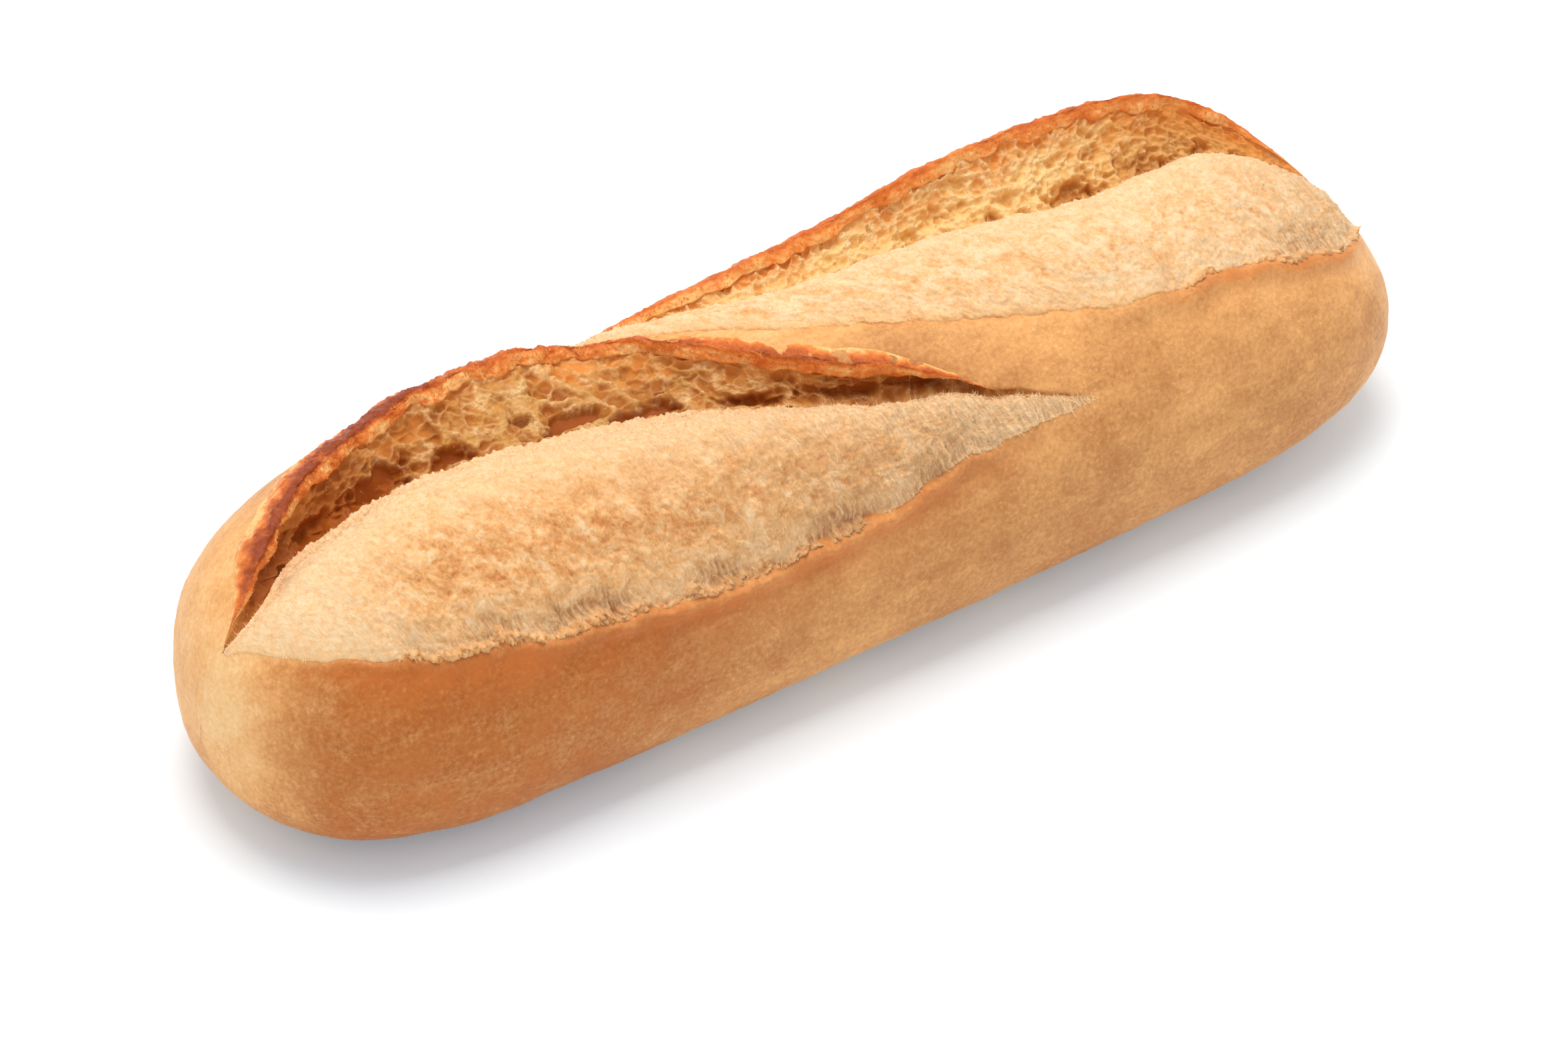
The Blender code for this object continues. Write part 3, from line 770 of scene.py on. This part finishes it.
for wall, stops, web_colour in zip(walls, WALL_SHADE_COLOURS, WEB_COLOURS):
    wall_finish, surface, place, value = blank_material(wall.name, 0.6, 0.15)
    fuzz = place.noise(0.0007, detail=3.0, roughness=0.7) - 0.5
    clots = place.noise(0.0030, detail=3.0, roughness=0.6) - 0.5
    # Painted shade and glow: the deeper the hole, the darker and more golden the wall.
    wall_colour = (value("pit") + 0.8 * fuzz + 0.9 * clots + 0.05).colours(stops)
    golden = value("gold").clamped(0.30, 0.95) * value("rise").clamped(0.25, 0.95)
    wall_colour = wall_colour.towards(WALL_GOLD, golden)
    wall_colour = wall_colour.towards(UNDER_RIM, value("rise").clamped(0.62, 0.98) * 0.75)
    creamy = value("web") * (0.40 + 1.2 * fuzz + 1.4 * clots).clamped(0.1, 0.9)
    wall_colour = wall_colour.towards(web_colour, creamy)
    finish_surface(surface, wall_colour, fuzz * (0.3 + value("web")) + clots * 0.6, 0.00030)
    wall.data.materials.append(wall_finish)
    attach(wall, "root")
    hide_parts("loaf")


# ------------------------------------------------------------------------------
# The rims of the ears. The lifted edge of each ear baked hardest, to a dark red-brown band that lies over the
# crust's edge, bumpy on top, and hangs a little way down the torn wall in ragged flakes.

RIM_RINGS = (620, 580)
OVER, NOSE, INSIDE = 16, 14, 6    # steps over the crust, down the wall, and back inside
RIM_WIDTH = (0.17, 0.13)          # how far each band reaches back over the crust, as an angle
RIM_THICK = 0.0008                # how far it stands over the crust
RIM_DROP = (0.0026, 0.0021)       # how far it hangs down the wall
RIM_BULGE = (0.0007, 0.0004)      # how far it stands out from the wall
RIM_CREST = 0.0007                # how far it rises over the ear's edge
RIM_HOLLOW = 0.0012               # how far its inside sags
RIM_BUMPS = (0.00042, 0.00025)

rims = []
rim_bands = []
for cut, label in enumerate(("near_ear_rim", "far_ear_rim")):
    x, step = cut_grid(cut, RIM_RINGS[cut], (OVER, 0, 1), (NOSE, 1, 2), (INSIDE, 2, 3))
    rim = cut_line(RIMS, cut, x, RIM_WANDER, 15 + cut)
    full = curve(BAKED[cut], x)
    along = np.stack([x, 0 * x], -1)
    over = np.clip(step, 0, 1)
    hang = np.clip(step - 1, 0, 1)
    # The near rim is widest and thickest at its left end, and slight where it crosses the bridge.
    heavy = 1 + (1 - cut) * (0.4 * (1 - ease(-0.070, -0.050, x)) - 0.35 * ease(-0.045, -0.020, x))
    proud = (RIM_THICK + 0.0003 * swirl(along, 0.008, 91 + cut, 3)) * np.sin(math.pi * (0.04 + 0.66 * over)) \
        - 0.00002
    crust_side = loaf_point(x, rim - RIM_WIDTH[cut] * full * heavy * (1 - over), proud * full * heavy)
    drop = RIM_DROP[cut] + 0.0014 * swirl(along, 0.007, 93 + cut, 2) \
        + 0.0005 * swirl(along, 0.0030, 94 + cut, 2)
    rise = np.linalg.norm(torn_face(cut, x, 1 + 0 * x)[0] - torn_face(cut, x, 0 * x)[0], axis=-1)
    down = hang * full * np.clip(drop / np.maximum(rise, 1e-4), 0, 0.6)
    face, side, _ = torn_face(cut, x, 1 - down)
    bulge = RIM_BULGE[cut] * np.sqrt(np.clip(1 - hang, 0, 1)) * np.sqrt(np.clip(0.15 + hang * 4, 0, 1)) \
        - 0.0006 * hang ** 2
    wall_side = face + side * (bulge * full)[..., None]
    wall_side[..., 2] += RIM_CREST * full * (1 - hang)
    first, last = crust_side[:, :1], wall_side[:, OVER + NOSE:OVER + NOSE + 1]
    back_in = np.clip(step - 2, 0, 1)
    inner = last + (first - last) * back_in[..., None]
    inner[..., 2] -= RIM_HOLLOW * full * np.sin(math.pi * back_in)
    band = np.where((step < 1)[..., None], crust_side, np.where((step < 2)[..., None], wall_side, inner))
    bump = RIM_BUMPS[cut] * (0.5 + swirl(band, 0.0030, 95 + cut, layers=4, gain=0.65))
    bump *= full * np.where(step < 2, 1, 0) * ease(0, 0.3, step)
    # These rings run round the other way from the other skins', so the bumps are pressed in, and the
    # finished faces are turned to point outwards.
    band = band + outward_sides(band) * bump[..., None]
    near_dark = 0.85 * ease(-0.112, -0.098, x) * (1 - ease(-0.066, -0.050, x)) + 0.50
    dark = near_dark if cut == 0 else 0.12 + 0 * x
    bridge_edge = 0.06 * (1 - cut) * ease(-0.040, -0.015, x) * np.clip(1 - step, 0, 1)
    rims.append(closed_skin(label, band, tip_points(RIMS, cut), {
        "over": step / 2 + bridge_edge, "dark": dark}))
    rims[-1].data.flip_normals()
    rim_bands.append((band[:, OVER + 4:OVER + NOSE], full[:, :1]))

RIM_COLOURS = ((0.0, (253, 198, 126)), (0.18, (244, 152, 74)), (0.45, (220, 114, 46)), (0.90, (152, 66, 26)))

rim_finish, surface, place, value = blank_material("baked_rim", 0.42, 0.10)
crumbs = place.noise(0.0010, detail=3.0, roughness=0.7) - 0.5
knobs = place.noise(0.0035, detail=3.0) - 0.5
blots = place.noise(0.0090, detail=2.0) - 0.5
hard = value("over").clamped(0.05, 0.48) - value("over").clamped(0.52, 0.80) * 0.8
hard = hard + crumbs + knobs * 1.5 + blots * 1.2
rim_colour = (hard * (0.40 + 0.42 * value("dark")) + 0.03).colours(RIM_COLOURS)
finish_surface(surface, rim_colour, crumbs * 0.8 + knobs * 0.6, 0.0004)
for band in rims:
    band.data.materials.append(rim_finish)
    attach(band, "root")
    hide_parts("loaf")


# ------------------------------------------------------------------------------
# The shreds. Where the dough tore, thousands of fine threads of crumb were drawn out and dried standing:
# along the tops and feet of the domes, across the torn walls, and in a fringe under each rim. Each is a
# slender bent cone.

DOME_COUNTS = (5200, 3600)
WALL_COUNTS = (500, 500)
RIM_COUNTS = (900, 400)
ROOTED = 0.00015          # how deep a shred's root is set


def shreds(name, skins, lengths, thickness, lift):
    """Threads rooted at random on skins, a list of (points (rings, around, 3), chance of a thread at each,
    count). They lean along the surface, and lift says how steeply they stand up."""
    luck = np.random.default_rng(len(name) + 5)
    roots, heads, sides = [], [], []
    for points, chance, count in skins:
        outward = outward_sides(points)
        over = np.gradient(points, axis=1)
        over /= np.maximum(np.linalg.norm(over, axis=-1, keepdims=True), 1e-9)
        chance = np.clip(chance, 0, None).ravel()
        picked = luck.choice(len(chance), count, p=chance / chance.sum())
        normal = outward.reshape(-1, 3)[picked]
        head = normal * luck.uniform(*lift, (count, 1)) \
            + over.reshape(-1, 3)[picked] * luck.choice((-1, 1), (count, 1)) \
            + luck.normal(0, 0.35, (count, 3))
        roots.append(points.reshape(-1, 3)[picked] - normal * ROOTED)
        heads.append(head / np.linalg.norm(head, axis=-1, keepdims=True))
        sides.append(normal)
    root, head, side = (np.concatenate(part)[:, None] for part in (roots, heads, sides))
    thread = bmesh.new()
    bmesh.ops.create_cone(thread, cap_ends=True, cap_tris=False, segments=3, radius1=1, radius2=0, depth=1)
    bmesh.ops.bisect_plane(thread, geom=thread.verts[:] + thread.edges[:] + thread.faces[:],
                           plane_co=(0, 0, 0), plane_no=(0, 0, 1))
    mesh = bpy.data.meshes.new(name)
    thread.to_mesh(mesh)
    thread.clear()
    for _ in range(len(root)):
        thread.from_mesh(mesh)
    thread.to_mesh(mesh)
    thread.free()
    local = np.empty(len(mesh.vertices) * 3)
    mesh.vertices.foreach_get("co", local)
    local = local.reshape(len(root), -1, 3)
    along = local[..., 2:] + 0.5
    long = luck.uniform(*lengths, (len(root), 1, 1))
    thick = luck.uniform(*thickness, (len(root), 1, 1))
    left = np.cross(head, side)
    left /= np.maximum(np.linalg.norm(left, axis=-1, keepdims=True), 1e-9)
    front = np.cross(head, left)
    bend = luck.normal(0, 0.25, (len(root), 1, 3)) * along ** 2
    place = root + long * (head * along + bend) + thick * (left * local[..., :1] + front * local[..., 1:2])
    mesh.vertices.foreach_set("co", place.ravel())
    return in_scene(name, mesh)


dome_skins = []
for (top, t), count in zip(dome_tops, DOME_COUNTS):
    thick_growth = 0.15 + 2.5 * ease(0.6, 0.9, t) + 1.5 * ease(0.0, 0.03, t) * (1 - ease(0.03, 0.15, t))
    dome_skins.append((top, np.where(t > 0.97, 0, thick_growth), count))
wall_skins = [(face, np.where((t > 0.02) & (t < 0.9), 1.0, 0), count)
              for (face, t), count in zip(wall_faces, WALL_COUNTS)]
rim_skins = [(fringe, np.ones(fringe.shape[:2]) * full, count)
             for (fringe, full), count in zip(rim_bands, RIM_COUNTS)]
dome_shreds = shreds("crumb_shreds", dome_skins, (0.0004, 0.0015), (0.00004, 0.00009), (0.2, 0.9))
wall_shreds = shreds("wall_shreds", wall_skins, (0.0004, 0.0011), (0.00004, 0.00009), (0.0, 0.4))
rim_shreds = shreds("rim_shreds", rim_skins, (0.0003, 0.0009), (0.00006, 0.00013), (0.1, 0.5))

for piece, slot, pale, brown in ((dome_shreds, "crumb", (255, 232, 186), (250, 205, 146)),
                                 (wall_shreds, "crumb", (250, 218, 158), (238, 176, 104)),
                                 (rim_shreds, "crust", (252, 196, 124), (214, 120, 56))):
    thread_finish, surface, place, _ = blank_material(piece.name, 0.8, 0.0)
    tint = place.noise(0.0020, detail=2.0).colours([(0.35, pale), (0.65, brown)])
    tint.tree.links.new(tint.socket, surface.inputs["Base Color"])
    piece.data.materials.append(thread_finish)
    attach(piece, "root")
    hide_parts("loaf")


# ------------------------------------------------------------------------------
# The floor, the light and the camera. A wide pale floor lies under the loaf. One large soft lamp hangs over
# it, a little to its back, in an even pale room. The camera looks down on the loaf from the front left.

FLOOR_WHITE = (0.93, 0.94, 0.95, 1)
FLOOR_GLOW = (0.28, 0.70, 0.92, 1)      # a faint blue glow, which takes the warm cast off the shadow
FLOOR_GLOW_STRENGTH = 0.18
ROOM_WHITE = (0.97, 0.985, 1.02, 1)
ROOM_STRENGTH = 0.74
LAMP_PLACE = (0.03, 0.20, 1.28)
LAMP_AIM = (0, 0, 0.02)
LAMP_SIZE = 0.8
LAMP_WATTS = 11.0
LAMP_WARMTH = (1.0, 0.96, 0.90)
TURN = math.radians(-33.32)             # the camera's place around the loaf, and its height
TILT = math.radians(42.0)
DISTANCE = 1.2
LOAF_MIDDLE = (0.0, 0.0, 0.027)
AIM_UP, AIM_RIGHT = -0.0129, -0.0011    # how far off the loaf's middle the camera aims

floor_shape = bmesh.new()
bmesh.ops.create_grid(floor_shape, x_segments=2, y_segments=2, size=3.0)
floor_mesh = bpy.data.meshes.new("floor")
floor_shape.to_mesh(floor_mesh)
floor_shape.free()
floor = in_scene("floor", floor_mesh)
floor_finish = bpy.data.materials.new("pale_floor")
floor_finish.use_nodes = True
floor_surface = floor_finish.node_tree.nodes["Principled BSDF"]
floor_surface.inputs["Base Color"].default_value = FLOOR_WHITE
floor_surface.inputs["Roughness"].default_value = 0.8
floor_surface.inputs["Emission Color"].default_value = FLOOR_GLOW
floor_surface.inputs["Emission Strength"].default_value = FLOOR_GLOW_STRENGTH
floor.data.materials.append(floor_finish)

scene = bpy.context.scene
scene.view_settings.view_transform = "Standard"
scene.world = bpy.data.worlds.new("studio")
scene.world.use_nodes = True
room = scene.world.node_tree.nodes["Background"]
room.inputs["Color"].default_value = ROOM_WHITE
room.inputs["Strength"].default_value = ROOM_STRENGTH

lamp = bpy.data.lights.new("key", "AREA")
lamp.size = LAMP_SIZE
lamp.energy = LAMP_WATTS
lamp.color = LAMP_WARMTH
softbox = in_scene("key", lamp)
softbox.location = LAMP_PLACE
softbox.rotation_euler = (Vector(LAMP_AIM) - Vector(LAMP_PLACE)).to_track_quat("-Z", "Y").to_euler()

back = np.array([math.sin(TURN) * math.cos(TILT), -math.cos(TURN) * math.cos(TILT), math.sin(TILT)])
right = np.array([math.cos(TURN), math.sin(TURN), 0.0])
upward = np.cross(back, right)
middle = np.array(LOAF_MIDDLE) + AIM_UP * upward + AIM_RIGHT * right
camera = in_scene("camera", bpy.data.cameras.new("camera"))
camera.data.lens = 156.0
camera.data.sensor_width = 36.0
camera.data.clip_start = 0.05
camera.location = middle + DISTANCE * back
camera.rotation_euler = Vector(-back).to_track_quat("-Z", "Y").to_euler()
scene.camera = camera
